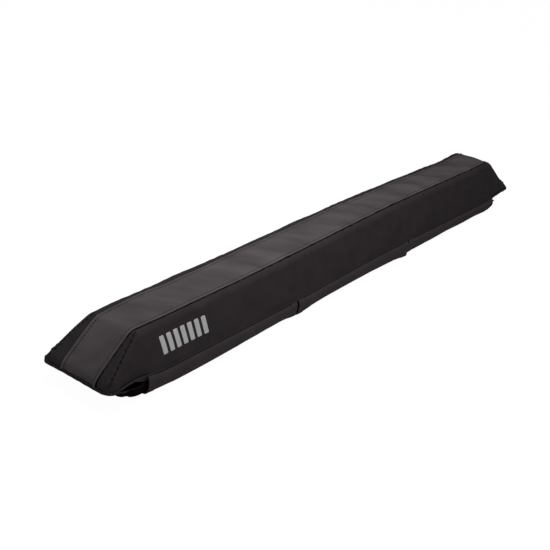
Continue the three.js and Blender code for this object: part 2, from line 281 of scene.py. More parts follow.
# Over and under threads of a plain weave, one thread wide in each direction
def plainWeave(tree, cloth, pitch):
    parts = tree.nodes.new("ShaderNodeSeparateXYZ")
    tree.links.new(cloth, parts.inputs[0])
    turn = math.pi / pitch
    warp = mathNode(tree, "SINE", mathNode(tree, "MULTIPLY", parts.outputs["X"], turn))
    weft = mathNode(tree, "SINE", mathNode(tree, "MULTIPLY", parts.outputs["Y"], turn))
    return mathNode(tree, "MULTIPLY", warp, weft)


def bumpNode(tree, height, strength, distance):
    node = tree.nodes.new("ShaderNodeBump")
    node.inputs["Strength"].default_value = strength
    node.inputs["Distance"].default_value = distance
    tree.links.new(height, node.inputs["Height"])
    return node.outputs["Normal"]


def dress(tree, shader, look, colour, height):
    tree.links.new(colour, shader.inputs["Base Color"])
    tree.links.new(bumpNode(tree, height, look["strength"], look["relief"]), shader.inputs["Normal"])
    shader.inputs["Roughness"].default_value = look["roughness"]
    shader.inputs["Specular IOR Level"].default_value = look["specular"]


def wovenCloth(name, look):
    material, tree, shader = startMaterial(name)
    cloth = clothCoordinates(tree)
    weave = plainWeave(tree, cloth, look["pitch"])
    slub = noiseNode(tree, cloth, look["slubScale"], 4.0, 0.6)
    height = mathNode(tree, "ADD", weave, mathNode(tree, "MULTIPLY", slub, look["slub"]))
    mottleAndPaintedShade = noiseNode(tree, objectCoordinates(tree), look["mottleAndPaintedShadeScale"], 3.0, 0.55)
    shade = mathNode(tree, "ADD", mottleAndPaintedShade, mathNode(tree, "MULTIPLY", weave, look["threadShade"]))
    dress(tree, shader, look, mixColours(tree, shade, *look["colours"]), height)
    return material


# Coated cloth with slanting streaks of painted light and shade that run with the top's wrinkles, and a
# painted highlight along its folded edges
def coatedCloth(name, look):
    material, tree, shader = startMaterial(name)
    cloth = clothCoordinates(tree)
    weave = plainWeave(tree, cloth, look["pitch"])
    grain = noiseNode(tree, cloth, look["grainScale"], 5.0, 0.6)
    height = mathNode(tree, "ADD", mathNode(tree, "MULTIPLY", weave, look["weave"]), grain)
    parts = tree.nodes.new("ShaderNodeSeparateXYZ")
    tree.links.new(objectCoordinates(tree), parts.inputs[0])
    lean = mathNode(tree, "MULTIPLY", parts.outputs["Y"], look["slant"])
    drawn = tree.nodes.new("ShaderNodeCombineXYZ")
    tree.links.new(mathNode(tree, "SUBTRACT", parts.outputs["X"], lean), drawn.inputs["X"])
    for axis in "YZ":
        tree.links.new(mathNode(tree, "MULTIPLY", parts.outputs[axis], look["stretch"]), drawn.inputs[axis])
    # Painted light and shade: colour streaks slanted and stretched to run with the top's wrinkles
    mottleAndPaintedShade = noiseNode(tree, drawn.outputs[0], look["mottleAndPaintedShadeScale"], 2.5, 0.5)
    # Painted highlight: the colour turns lighter across the folded edges of the strip, where |Y| passes the
    # fold
    wearAndFoldHighlight = tree.nodes.new("ShaderNodeMapRange")
    wearAndFoldHighlight.interpolation_type = "SMOOTHSTEP"
    wearAndFoldHighlight.inputs["From Min"].default_value = look["foldHighlightFrom"]
    wearAndFoldHighlight.inputs["From Max"].default_value = look["foldHighlightTo"]
    wearAndFoldHighlight.inputs["To Max"].default_value = look["foldHighlightShare"]
    tree.links.new(mathNode(tree, "ABSOLUTE", parts.outputs["Y"]), wearAndFoldHighlight.inputs["Value"])
    plain = mixColours(tree, mottleAndPaintedShade, *look["colours"])
    dress(tree, shader, look, mixColours(tree, wearAndFoldHighlight.outputs[0], plain, look["foldHighlight"]), height)
    change = mathNode(tree, "MULTIPLY", grain, look["shineChange"])
    tree.links.new(mathNode(tree, "ADD", change, look["roughness"]), shader.inputs["Roughness"])
    return material


def brushedLoops(name, look):
    material, tree, shader = startMaterial(name)
    cloth = clothCoordinates(tree)
    fuzz = noiseNode(tree, cloth, look["fuzzScale"], 6.0, 0.75)
    height = mathNode(tree, "ADD", fuzz, noiseNode(tree, cloth, look["clumpScale"], 3.0, 0.6))
    dress(tree, shader, look, mixColours(tree, fuzz, *look["colours"]), height)
    return material


def ribbedTape(name, look):
    material, tree, shader = startMaterial(name)
    cloth = clothCoordinates(tree)
    parts = tree.nodes.new("ShaderNodeSeparateXYZ")
    tree.links.new(cloth, parts.inputs[0])
    turns = mathNode(tree, "MULTIPLY", parts.outputs["X"], 2 * math.pi / look["pitch"])
    lint = noiseNode(tree, cloth, look["lintScale"], 3.0, 0.6)
    height = mathNode(tree, "ADD", mathNode(tree, "SINE", turns), lint)
    shade = mathNode(tree, "MULTIPLY", mathNode(tree, "ADD", height, 0.5), 0.5)
    dress(tree, shader, look, mixColours(tree, shade, *look["colours"]), height)
    return material


def hookTapeCloth(name, look):
    material, tree, shader = startMaterial(name)
    cloth = clothCoordinates(tree)
    hooks = mathNode(tree, "ABSOLUTE", plainWeave(tree, cloth, look["pitch"]))
    grain = noiseNode(tree, cloth, look["grainScale"], 2.0, 0.5)
    height = mathNode(tree, "ADD", hooks, mathNode(tree, "MULTIPLY", grain, look["grain"]))
    dress(tree, shader, look, mixColours(tree, height, *look["colours"]), height)
    return material


def cellDistance(tree, coordinates, scale):
    cells = tree.nodes.new("ShaderNodeTexVoronoi")
    cells.inputs["Scale"].default_value = scale
    tree.links.new(coordinates, cells.inputs["Vector"])
    return cells.outputs["Distance"]


def foamRubber(name, look):
    material, tree, shader = startMaterial(name)
    cells = cellDistance(tree, objectCoordinates(tree), look["cellScale"])
    dress(tree, shader, look, mixColours(tree, cells, *look["colours"]), cells)
    return material


def threadMaterial(name, look):
    material, tree, shader = startMaterial(name)
    lint = noiseNode(tree, objectCoordinates(tree), look["lintScale"], 3.0, 0.6)
    dress(tree, shader, look, mixColours(tree, lint, *look["colours"]), lint)
    return material


def reflectiveFilm(name, look):
    material, tree, shader = startMaterial(name)
    cloth = clothCoordinates(tree)
    cells = cellDistance(tree, cloth, look["cellScale"])
    wearAndFoldHighlight = noiseNode(tree, cloth, look["wearScale"], 3.0, 0.6)
    shade = mathNode(tree, "ADD", mathNode(tree, "MULTIPLY", cells, 0.5), wearAndFoldHighlight)
    dress(tree, shader, look, mixColours(tree, shade, *look["colours"]), cells)
    return material


# The two colours of a look are those at the low and the high end of its pattern
topFabric = coatedCloth("coated top fabric", {
    "pitch": 0.0005, "weave": 0.35, "grainScale": 1400, "strength": 0.35, "relief": 0.00012,
    "mottleAndPaintedShadeScale": 42, "slant": -0.44, "stretch": 0.45,
    # The slanted streaks between these two colours are painted light and shade of the wrinkles
    "colours": ((0.038, 0.0333, 0.0346), (0.109, 0.0962, 0.0999)),
    # The lighter colour on the folded edges is a painted highlight
    "foldHighlight": (0.105, 0.0950, 0.0980), "foldHighlightFrom": 0.0197, "foldHighlightTo": 0.0208, "foldHighlightShare": 0.5,
    "roughness": 0.50, "shineChange": 0.16, "specular": 0.0,
})
fineWeave = {
    "pitch": 0.00055, "slub": 0.8, "slubScale": 1500, "strength": 0.6, "relief": 0.00018, "specular": 0.0,
}
sideFabric = wovenCloth("woven side fabric", {
    **fineWeave, "mottleAndPaintedShadeScale": 60, "threadShade": 0.22, "roughness": 0.78,
    "colours": ((0.0275, 0.0230, 0.0245), (0.0420, 0.0359, 0.0379)),
})
# The flap cloth is the side's cloth painted lighter: painted light for the light bounced up from the floor
# onto the flaps
flapFabricPaintedLighter = wovenCloth("woven side fabric painted lighter", {
    **fineWeave, "mottleAndPaintedShadeScale": 50, "threadShade": 0.2, "roughness": 0.8,
    "colours": ((0.0390, 0.0330, 0.0346), (0.0570, 0.0490, 0.0514)),
})
baseFabric = wovenCloth("grip base fabric", {
    "pitch": 0.0016, "slub": 0.3, "slubScale": 900, "strength": 0.9, "relief": 0.0004, "specular": 0.05,
    "mottleAndPaintedShadeScale": 40, "threadShade": 0.35, "roughness": 0.85,
    "colours": ((0.012, 0.012, 0.012), (0.022, 0.022, 0.022)),
})
bindingTape = ribbedTape("ribbed binding tape", {
    "pitch": 0.0009, "lintScale": 3000, "strength": 0.8, "relief": 0.0002,
    "roughness": 0.85, "specular": 0.03,
    "colours": ((0.0105, 0.0084, 0.0080), (0.042, 0.0345, 0.0335)),
})
loopTape = brushedLoops("brushed loop tape", {
    "fuzzScale": 1700, "clumpScale": 350, "strength": 1.0, "relief": 0.0012,
    "roughness": 0.95, "specular": 0.0,
    "colours": ((0.0020, 0.0013, 0.0009), (0.0140, 0.0098, 0.0078)),
})
hookTape = hookTapeCloth("hook tape", {
    "pitch": 0.0014, "grainScale": 2500, "grain": 0.3, "strength": 1.0, "relief": 0.0006,
    "roughness": 0.6, "specular": 0.3, "colours": ((0.006, 0.006, 0.006), (0.018, 0.018, 0.018)),
})
foam = foamRubber("closed cell foam", {
    "cellScale": 900, "strength": 0.5, "relief": 0.0003, "roughness": 0.95, "specular": 0.5,
    "colours": ((0.03, 0.03, 0.032), (0.06, 0.06, 0.063)),
})
plainThread = {"lintScale": 4000, "strength": 0.6, "relief": 0.0002, "roughness": 0.7, "specular": 0.08}
greyThread = threadMaterial("grey sewing thread", {
    **plainThread, "colours": ((0.008, 0.0070, 0.0072), (0.018, 0.0160, 0.0165)),
})
blackThread = threadMaterial("black sewing thread", {
    **plainThread, "colours": ((0.003, 0.0027, 0.0027), (0.009, 0.008, 0.008)),
})
film = reflectiveFilm("reflective film", {
    "cellScale": 1100, "wearScale": 900, "strength": 0.25, "relief": 0.0001,
    "roughness": 0.5, "specular": 0.3,
    "colours": ((0.52, 0.52, 0.53), (0.4, 0.4, 0.41)),
})
print("materials ready")


# The cover: a strip over the top and both ends, and a side panel along each side

coverForm = {
    "endRun": 0.0407,
    "fineMargin": 0.014,
    "rightRun": 0.0399,
    "endFoot": 0.0071,
    "rightFoot": 0.0050,
    "cornerSoft": 0.0008,
    "footTurn": 0.0010,
    "bendSoftness": 0.0014,
    "rightSoftness": 0.0007,
    "shoulder": 0.007,
    "topCrown": 0.0008,
    "sideCrown": 0.0009,
    "hemCorner": 0.007,
    "hemRim": 0.0022,
    "hemLip": 0.0026,
    "rimShare": 0.5,
    "rimMore": 0.5,
    "rimLess": 0.6,
    "rimSwell": (0.328, 0.342),
    "rimFade": (0.366, 0.375),
    "seamLand": 0.0030,
    "fabric": 0.0012,
    "seamGap": 0.0003,
}
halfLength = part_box("top_panel")[1].x
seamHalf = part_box("top_panel")[1].y + coverForm["seamGap"] / 2
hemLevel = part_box("base_panel")[0].z
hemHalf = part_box("base_panel")[1].y
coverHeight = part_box("top_panel")[1].z - hemLevel - coverForm["topCrown"]
riseOverLip = coverHeight - coverForm["hemLip"]
roundHeight = riseOverLip - coverForm["shoulder"]
roundReach = hemHalf - coverForm["hemRim"] - seamHalf - coverForm["seamLand"]
roundTilt = math.asin(coverForm["shoulder"] / math.hypot(roundReach, roundHeight))
sideLean = math.atan2(roundReach, roundHeight) - roundTilt


def stations(fine=0.0008, coarse=0.002):
    endStart = halfLength - coverForm["endRun"] - coverForm["fineMargin"]
    body = np.linspace(0, endStart, round(endStart / coarse) + 1)
    end = np.linspace(endStart, halfLength, round((halfLength - endStart) / fine) + 1)[1:]
    half = np.concatenate([body, end])
    return np.concatenate([-half[:0:-1], half])


def topHeight(x):
    form = coverForm
    fromEnd = np.maximum(halfLength - np.abs(x), 0)
    run = np.where(x < 0, form["endRun"], form["rightRun"])
    foot = np.where(x < 0, form["endFoot"], form["rightFoot"])
    slope = foot + (coverHeight - foot) * fromEnd / run
    slope = slope - (foot - form["hemLip"]) * np.exp(-fromEnd / form["footTurn"])
    soft = np.where(x < 0, form["bendSoftness"], form["rightSoftness"])
    return -soft * np.logaddexp(-slope / soft, -coverHeight / soft)


def outlineHalfAt(x, inset):
    fromEnd = np.maximum(halfLength - inset - np.abs(x), 0)
    return hemHalf - inset - cornerCut(fromEnd, coverForm["hemCorner"] - inset)


def spread(first, last, shares):
    return first[:, None] + (last - first)[:, None] * np.asarray(shares)[None]


# Distance across the cloth from the first column of a grid
def acrossFrom(grid):
    step = np.linalg.norm(np.diff(grid, axis=1), axis=2)
    return np.concatenate([np.zeros((len(grid), 1)), np.cumsum(step, axis=1)], axis=1)


def alongFrom(grid):
    return acrossFrom(grid.transpose(1, 0, 2)).T


stripLook = {
    "foldOver": 0.0003,
    "foldRise": 0.0004,
    "slopeFold": 0.0005,
    "foldWidth": 0.0026,
    "stitchIn": 0.0032,
    "stitchDip": 0.0002,
    "dipWidth": 0.0005,
    "pucker": 0.00016,
    "puckerWidth": 0.004,
    "puckerWaves": (0.012, 0.05),
    "wrinkles": (-0.124, -0.075, -0.027, 0.018, 0.055, 0.082, 0.115,
                 0.147, 0.166, 0.191, 0.2175, 0.252, 0.286),
    "wrinkleRise": 0.0016,
    "wrinkleWidth": 0.0062,
    "wrinkleSlant": -0.44,
    "softness": 0.0003,
    "softWaves": (0.075, 0.045),
    "slopeDent": 0.0009,
    "dentWaves": (0.06, 0.03),
    "dentAt": 0.024,
    "dentWidth": 0.011,
}


def stripHeight(x, y):
    look = stripLook
    fromEdge = seamHalf + look["foldOver"] - np.abs(y)
    fromRim = halfLength - np.abs(x)
    fromBend = fromRim - coverForm["endRun"]
    rise = look["foldRise"] + look["slopeFold"] * smoothStep(0.004, -0.006, fromBend)
    fold = rise * (1 - smoothStep(look["foldWidth"] * 0.85, look["stitchIn"] * 1.15, fromEdge))
    dip = look["stitchDip"] * bell(fromEdge, look["stitchIn"], look["dipWidth"])
    pucker = bell(fromEdge, look["stitchIn"], look["puckerWidth"]) * ripples(x, y, *look["puckerWaves"], 11)
    draw = np.random.default_rng(5)
    folds = 0 * x
    for place in look["wrinkles"]:
        centre = place + look["wrinkleSlant"] * draw.uniform(0.6, 1.3) * y
        width = look["wrinkleWidth"] * draw.uniform(0.7, 1.4)
        folds = folds + draw.uniform(0.5, 1.2) * bell(x, centre, width)
    quiet = 1 - 0.6 * smoothStep(0.010, 0.001, fromEdge)
    folds = folds * quiet * smoothStep(0.002, 0.03, fromBend)
    soft = look["softness"] * ripples(x, y, *look["softWaves"], 3) * quiet
    uneven = 0.7 + 0.5 * ripples(x, y, *look["dentWaves"], 17)
    slope = bell(fromRim, look["dentAt"], look["dentWidth"]) * uneven
    dent = look["slopeDent"] * slope * smoothStep(0.001, 0.012, fromEdge)
    return fold - dip + look["pucker"] * pucker + look["wrinkleRise"] * folds + soft - dent


def topStrip():
    look = stripLook
    edge = seamHalf + look["foldOver"]
    near = np.array([0, 0.0001, 0.0003, 0.0006, 0.001, 0.0015, 0.002, 0.0024, 0.0027, 0.003,
                     look["stitchIn"], 0.0035, 0.0038, 0.0043, 0.005, 0.006, 0.0075])
    middle = np.linspace(-edge + 0.0095, edge - 0.0095, 16)
    ys = np.concatenate([-edge + near, middle, (edge - near)[::-1]])
    x, y = np.meshgrid(stations(), ys, indexing="ij")
    height = topHeight(x)
    crown = coverForm["topCrown"] * (1 - (y / seamHalf) ** 2) * height / coverHeight
    base = np.stack([x, y, hemLevel + height + crown], axis=-1)
    normal = outwardFrom(base, 0)
    raised = base + normal * stripHeight(x, y)[..., None]
    cloth = np.stack([alongFrom(base), acrossFrom(base)], axis=-1)
    fromEdge = np.minimum(edge - np.abs(y), halfLength - np.abs(x))
    outer, inner = layerUnder(raised, normal, coverForm["fabric"], fromEdge)
    piece = closedSheet("top_strip", outer, inner, cloth, topFabric)
    length = float(alongFrom(base)[-1].mean())
    stitched = list(near).index(look["stitchIn"])
    return piece, (2 * edge, length), [outer[:, stitched], outer[:, -1 - stitched]]


sideLook = {
    "underFold": 0.0008,
    "seamDepth": 0.0022,
    "seamWidth": 0.0012,
    "pucker": 0.00028,
    "puckerReach": 0.009,
    "puckerWaves": (0.011, 0.06),
    "softness": 0.0005,
    "softWaves": (0.1, 0.06),
    "hemGroove": 0.0008,
    "hemGrooveFrom": 0.336,
    "rimPuff": 0.0005,
    "dartTop": (0.337, 0.0250),
    "dartFoot": (0.3765, 0.0362),
    "dartDepth": 0.0024,
    "dartWidth": 0.0008,
    "dartStitch": 0.0042,
    "dartLap": 0.0004,
    "tuck": 0.0005,
    "tuckSize": (0.008, 0.007),
    "wingPuff": 0.0003,
    "wingAt": (0.356, 0.013),
    "wingSize": (0.015, 0.011),
}


def sideBase(x):
    form = coverForm
    height = topHeight(x)
    hem = outlineHalfAt(x, 0)
    rimShare = form["rimShare"] + form["rimMore"] * smoothStep(*form["rimSwell"], np.abs(x))
    rimShare = rimShare - form["rimLess"] * smoothStep(*form["rimFade"], np.abs(x))
    foot = outlineHalfAt(x, form["hemRim"] * rimShare)
    rise = height - form["hemLip"]
    hip = outlineHalfAt(x, form["hemRim"]) - math.tan(sideLean) * rise
    hip = hip - form["cornerSoft"] * smoothStep(0.010, 0.0, halfLength - np.abs(x))
    turn = math.pi / 2 - sideLean
    radius = np.minimum(form["shoulder"], rise * 0.45)
    centreY = hip - radius * math.tan(turn / 2)
    centreZ = height - radius
    start = np.full_like(x, seamHalf - sideLook["underFold"])
    wingShares = [0, 0.02, 0.045, 0.075, 0.11, 0.15, 0.2, 0.26, 0.34, 0.45, 0.58, 0.72, 0.86, 1]
    wingY = spread(start, centreY, wingShares)
    wingZ = np.broadcast_to(height[:, None], wingY.shape)
    angles = np.linspace(0, turn, 11)[1:]
    roundY = centreY[:, None] + radius[:, None] * np.sin(angles)
    roundZ = centreZ[:, None] + radius[:, None] * np.cos(angles)
    fallShares = np.concatenate([np.linspace(0, 0.88, 20)[1:], np.linspace(0.88, 1, 10)[1:]])
    crown = form["sideCrown"] * np.sin(math.pi * fallShares)[None] * (rise / riseOverLip)[:, None]
    fallY = spread(roundY[:, -1], foot, fallShares) + crown
    fallZ = spread(roundZ[:, -1], np.full_like(x, form["hemLip"]), fallShares)
    rimShares = np.array([0.15, 0.3, 0.5, 0.7, 0.85, 0.93, 0.97, 1])
    rimY = spread(foot, hem, rimShares)
    rimZ = np.full_like(rimY, form["hemLip"])
    bentY = np.concatenate([wingY, roundY, fallY], axis=1)
    bentZ = np.concatenate([wingZ, roundZ, fallZ], axis=1)
    flatY = spread(start, foot, np.linspace(0, 1, bentY.shape[1]))
    flatness = np.clip(1 - rise / form["hemLip"], 0, 1)[:, None]
    y = np.concatenate([bentY + (flatY - bentY) * flatness, rimY], axis=1)
    z = np.concatenate([bentZ + (height[:, None] - bentZ) * flatness, rimZ], axis=1)
    return y, z, bentY.shape[1] - 1


# How far the side's cloth stands off its plain form
def sideHeight(x, y, fromSeam, fromFoot, seed):
    look = sideLook
    seam = look["seamDepth"] * bell(fromSeam, 0, look["seamWidth"])
    pucker = np.exp(-fromSeam / look["puckerReach"]) * ripples(x, fromSeam, *look["puckerWaves"], seed)
    calm = smoothStep(0, 0.01, fromSeam) * smoothStep(0.001, 0.008, np.abs(fromFoot))
    soft = look["softness"] * ripples(x, fromSeam, *look["softWaves"], seed + 1) * calm
    grooved = smoothStep(look["hemGrooveFrom"] - 0.004, look["hemGrooveFrom"] + 0.004, np.abs(x))
    groove = look["hemGroove"] * bell(fromFoot, 0, 0.0008) * grooved
    puff = look["rimPuff"] * bell(fromFoot, 0.0012, 0.0011)
    top, foot = np.array(look["dartTop"]), np.array(look["dartFoot"])
    line = foot - top
    length = np.linalg.norm(line)
    fromTopX, fromTopY = np.abs(x) - top[0], np.abs(y) - top[1]
    along = (fromTopX * line[0] + fromTopY * line[1]) / length
    aside = (fromTopX * line[1] - fromTopY * line[0]) / length
    onDart = smoothStep(-0.001, 0.002, along) * smoothStep(length + 0.001, length - 0.002, along)
    pinch = 0.6 + 0.4 * np.cos(2 * math.pi * along / look["dartStitch"])
    dart = look["dartDepth"] * bell(aside, 0, look["dartWidth"]) * pinch * onDart
    lap = look["dartLap"] * smoothStep(-0.0008, 0.0008, aside) * bell(aside, 0.0012, 0.0022) * onDart
    atTuck = bell(along, length, look["tuckSize"][0]) * bell(aside, 0.001, look["tuckSize"][1])
    tuck = look["tuck"] * atTuck * ripples(x, y, 0.004, 0.006, seed + 2)
    wing = look["wingPuff"] * bell(np.abs(x), look["wingAt"][0], look["wingSize"][0])
    wing = wing * bell(fromSeam, look["wingAt"][1], look["wingSize"][1]) * smoothStep(0, 0.006, fromSeam)
    return -seam + look["pucker"] * pucker + soft - groove + puff - dart + lap + tuck + wing


def sidePanel(name, side, seed):
    xs = stations()
    y, z, footColumn = sideBase(xs)
    x = np.broadcast_to(xs[:, None], y.shape)
    base = np.stack([x, side * y, hemLevel + z], axis=-1)
    normal = outwardFrom(base, 0)
    across = acrossFrom(base)
    fromSeam = np.maximum(across - sideLook["underFold"], 0)
    fromFoot = across - across[:, footColumn:footColumn + 1]
    lift = sideHeight(x, base[..., 1], fromSeam, fromFoot, seed)
    raised = base + normal * lift[..., None]
    fromEdge = np.minimum(across[:, -1:] - across, halfLength - np.abs(x))
    outer, inner = layerUnder(raised, normal, coverForm["fabric"], fromEdge)
    cloth = np.stack([x + 0.5, across], axis=-1)
    piece = closedSheet(name, outer, inner, cloth, sideFabric)
    stepAlong, stepAcross = np.diff(base, axis=0)[:, :-1], np.diff(base, axis=1)[:-1]
    area = float(np.linalg.norm(np.cross(stepAlong, stepAcross), axis=2).sum())
    flat = (float(across[:, -1].max()), 2 * halfLength)
    return piece, flat, area, (xs, outer, normal)


strip, stripFlat, stripStitches = topStrip()
ridesOnPad(strip, "top_fabric", "top_panel")
sideFaces = {}
sidePanels = [(-1, "near_side", "near_side_panel", 21), (1, "far_side", "far_side_panel", 41)]
for side, name, node, seed in sidePanels:
    panel, flat, area, faces = sidePanel(name, side, seed)
    ridesOnPad(panel, "side_fabric", node)
    sideFaces[side] = faces
    print(name, "cut flat to", [round(v, 4) for v in flat], "area", round(area, 4))
print("cover made, strip cut flat to", [round(v, 4) for v in stripFlat])


# The foam inside

foamForm = {
    "underCover": 0.0028, "endSetback": 0.007, "sideSetback": 0.0044, "floorGap": 0.0018, "least": 0.0004,
}


def foamBlock():
    form = foamForm
    xs = np.linspace(-halfLength + form["endSetback"], halfLength - form["endSetback"], 120)
    shares = np.linspace(0, 1, 24)
    y, z, footColumn = sideBase(xs)
    halfWidth = np.minimum(y[:, footColumn] - form["underCover"], hemHalf - form["sideSetback"])
    floor = hemLevel + form["floorGap"]
    columns = np.linspace(0, 1, footColumn + 1)
    ys, zs = [
        np.stack([np.interp(shares, columns, row) for row in grid[:, :footColumn + 1]])
        for grid in (y, z)
    ]
    ys = np.minimum(ys - form["underCover"] * shares, halfWidth[:, None])
    zs = np.maximum(hemLevel + zs - form["underCover"], floor + form["least"])
    upperY = np.concatenate([-ys[:, ::-1], ys], axis=1)
    upperZ = np.concatenate([zs[:, ::-1], zs], axis=1)
    x = np.broadcast_to(xs[:, None], upperY.shape)
    upper = np.stack([x, upperY, upperZ], axis=-1)
    lower = np.stack([x, upperY, np.full_like(upperZ, floor)], axis=-1)
    cloth = np.stack([x, upperY], axis=-1)
    return closedSheet("foam_block", upper, lower, cloth, foam)


foamPiece = foamBlock()
ridesOnPad(foamPiece, "foam", "foam_core")


# The panel under the foam

baseForm = {
    "low": 0.0005,
    "thickness": 0.0006,
    "grip": 0.0002,
    "edgeInset": 0.00005,
    "sideInset": 0.0026,
    "insetUpTo": (0.367, 0.360),
    "seamIn": 0.006,
    "seamDip": 0.0002,
    "seamWidth": 0.0008,
}


def basePanel():
    form = baseForm
    xs = stations(0.0006, 0.004)
    shares = np.linspace(-1, 1, 40)
    half = outlineHalfAt(xs, form["edgeInset"])
    half = half - form["sideInset"] * smoothStep(*form["insetUpTo"], np.abs(xs))
    x = np.broadcast_to(xs[:, None], (len(xs), len(shares)))
    y = half[:, None] * shares[None]
    fromEdge = np.minimum(half[:, None] - np.abs(y), halfLength - np.abs(x))
    sag = form["grip"] * ripples(x, y, 0.06, 0.03, 61) * smoothStep(0.001, 0.01, fromEdge)
    dip = form["seamDip"] * bell(fromEdge, form["seamIn"], form["seamWidth"])
    lower = np.stack([x, y, hemLevel + form["low"] + np.abs(sag) + dip], axis=-1)
    down = np.zeros_like(lower)
    down[..., 2] = -1
    outer, inner = layerUnder(lower, down, form["thickness"], fromEdge)
    cloth = np.stack([x, y], axis=-1)
    return closedSheet("base_cloth", outer, inner, cloth, baseFabric)


basePiece = basePanel()
ridesOnPad(basePiece, "base_fabric", "base_panel")


# The folded tape round each end of the hem

bindingForm = {
    "thickness": 0.0004,
    "gap": 0.0001,
    "leg": 0.005,
    "tail": 0.001,
    "upperLeg": 0.0012,
    "edgeRound": 0.0003,
    "roundness": 0.9,
    "waver": 0.0001,
    "taper": 0.018,
    "thinnest": 0.1,
    "stitchIn": 0.0035,
}


# The tape's way round the end at +X: a place on the hem and the direction out from it
def hemRoute():
    corner = coverForm["hemCorner"]
    centreX, centreY = halfLength - corner, hemHalf - corner
    tail = np.linspace(centreX - bindingForm["tail"], centreX, 8)[:-1]
    outward = [(math.sin(a), -math.cos(a)) for a in np.linspace(0, math.pi / 2, 14)]
    near = [(x, -hemHalf, 0.0, -1.0) for x in tail]
    near += [(centreX + corner * outX, -centreY + corner * outY, outX, outY) for outX, outY in outward]
    across = [(halfLength, y, 1.0, 0.0) for y in np.linspace(-centreY, centreY, 60)[1:-1]]
    far = [(x, -y, outX, -outY) for x, y, outX, outY in reversed(near)]
    return np.array(near + across + far)


# The tape's outline across the hem: how far out from it, and how high
def tapeSection(low, top):
    form = bindingForm
    out = form["gap"] + form["thickness"]
    radius = out * form["roundness"]
    under, over = low - form["thickness"], top + form["thickness"]
    bend = np.linspace(0, math.pi / 2, 5)
    sines, cosines = radius * np.sin(bend), radius * np.cos(bend)
    section = [(-form["leg"], low), (-form["leg"], under)]
    section += zip(out - radius + sines, under + radius - cosines)
    section += zip(out - radius + cosines, over - radius + sines)
    section += [
        (-form["upperLeg"], over),
        (-form["upperLeg"] - form["edgeRound"], top + form["thickness"] / 2),
        (-form["upperLeg"], top),
        (form["gap"] / 2, top),
        (form["gap"] / 2, low),
    ]
    return np.array(section)


# What lies past two limits, drawn in towards them
def drawnIn(values, low, high, share):
    held = np.clip(values, low, high)
    return held + (values - held) * share


def endBinding(name, end):
    form = bindingForm
    route = hemRoute()
    top = coverForm["hemLip"] + form["gap"]
    low = baseForm["low"] - form["gap"]
    section = tapeSection(low, top)
    along = lengthAlong(route[:, :2])
    waver = form["waver"] * ripples(along, 0 * along, 0.012, 1, 71)
    fromTail = np.minimum(along, along[-1] - along)[:, None]
    fade = form["thinnest"] + (1 - form["thinnest"]) * smoothStep(0, form["taper"], fromTail)
    reach = drawnIn(section[None, :, 0], -form["leg"], 0, fade)
    level = drawnIn(section[None, :, 1], low, top, fade) + waver[:, None]
    rings = np.stack([
        end * (route[:, 0:1] + route[:, 2:3] * reach),
        route[:, 1:2] + route[:, 3:4] * reach,
        hemLevel + level,
    ], axis=-1)
    if end > 0:
        rings = rings[:, ::-1]
    piece = tubeAlong(name, rings, bindingTape)
    legPath = np.stack([
        end * (route[:, 0] - route[:, 2] * form["stitchIn"]),
        route[:, 1] - route[:, 3] * form["stitchIn"],
        hemLevel + low - form["thickness"] + waver,
    ], axis=-1)
    return piece, legPath


bindingStitches = []
bindings = [(-1, "left_binding", "left_end_binding"), (1, "right_binding", "right_end_binding")]
for end, name, node in bindings:
    binding, legPath = endBinding(name, end)
    ridesOnPad(binding, "binding_tape", node)
    bindingStitches.append(legPath)
print("foam, base and bindings made")


# The flaps under the hem

flapForm = {
    "fabric": 0.0012,
    "topRise": 0.0015,
    "sideGap": 0.0003,
    "bulge": 0.003,
    "upperBulge": 0.0054,
    "upperLevel": 0.85,
    "floorTurn": 0.0056,
    "corner": 0.012,
    "innerCorner": 0.012,
    "innerCornerExtra": 0.008,
    "hemWidth": 0.01,
    "hemExtra": 0.0004,
    "innerHemExtra": 0.0002,
    "hemEdge": 0.0006,
    "stitchDip": 0.0003,
    "calmFrom": 0.012,
    "flareSide": 0.012,
    "flareDrop": 0.024,
    "outerReach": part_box("outer_flap_1")[1].y,
    "innerRise": 0.0088,
    "innerTurn": 0.0056,
    "innerFromWall": 0.0029,
    "innerLean": 0.0015,
    "innerFloor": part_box("inner_flap_1")[0].z,
    "waves": 0.0004,
    "innerWaves": 0.00024,
    "waveLengths": (0.07, 0.05),
}
flapTop = hemLevel + flapForm["topRise"]
flapTopHalf = hemHalf - 2 * flapForm["sideGap"]


def bezier(points, count=60):
    t = np.linspace(0, 1, count)[:, None]
    a, b, c, d = np.array(points)
    return a * (1 - t) ** 3 + 3 * b * t * (1 - t) ** 2 + 3 * c * t ** 2 * (1 - t) + d * t ** 3


def joined(*runs):
    return np.concatenate([runs[0]] + [run[1:] for run in runs[1:]])


def outerFlapLine():
    form = flapForm
    foot = flapTopHalf - form["floorTurn"]
    wall = bezier([
        (-flapTopHalf, flapTop),
        (-flapTopHalf - form["upperBulge"], flapTop * form["upperLevel"]),
        (-flapTopHalf - form["bulge"], 0),
        (-foot, 0),
    ])
    floor = np.linspace((-foot, 0), (form["outerReach"], 0), 40)
    return joined(wall, floor)


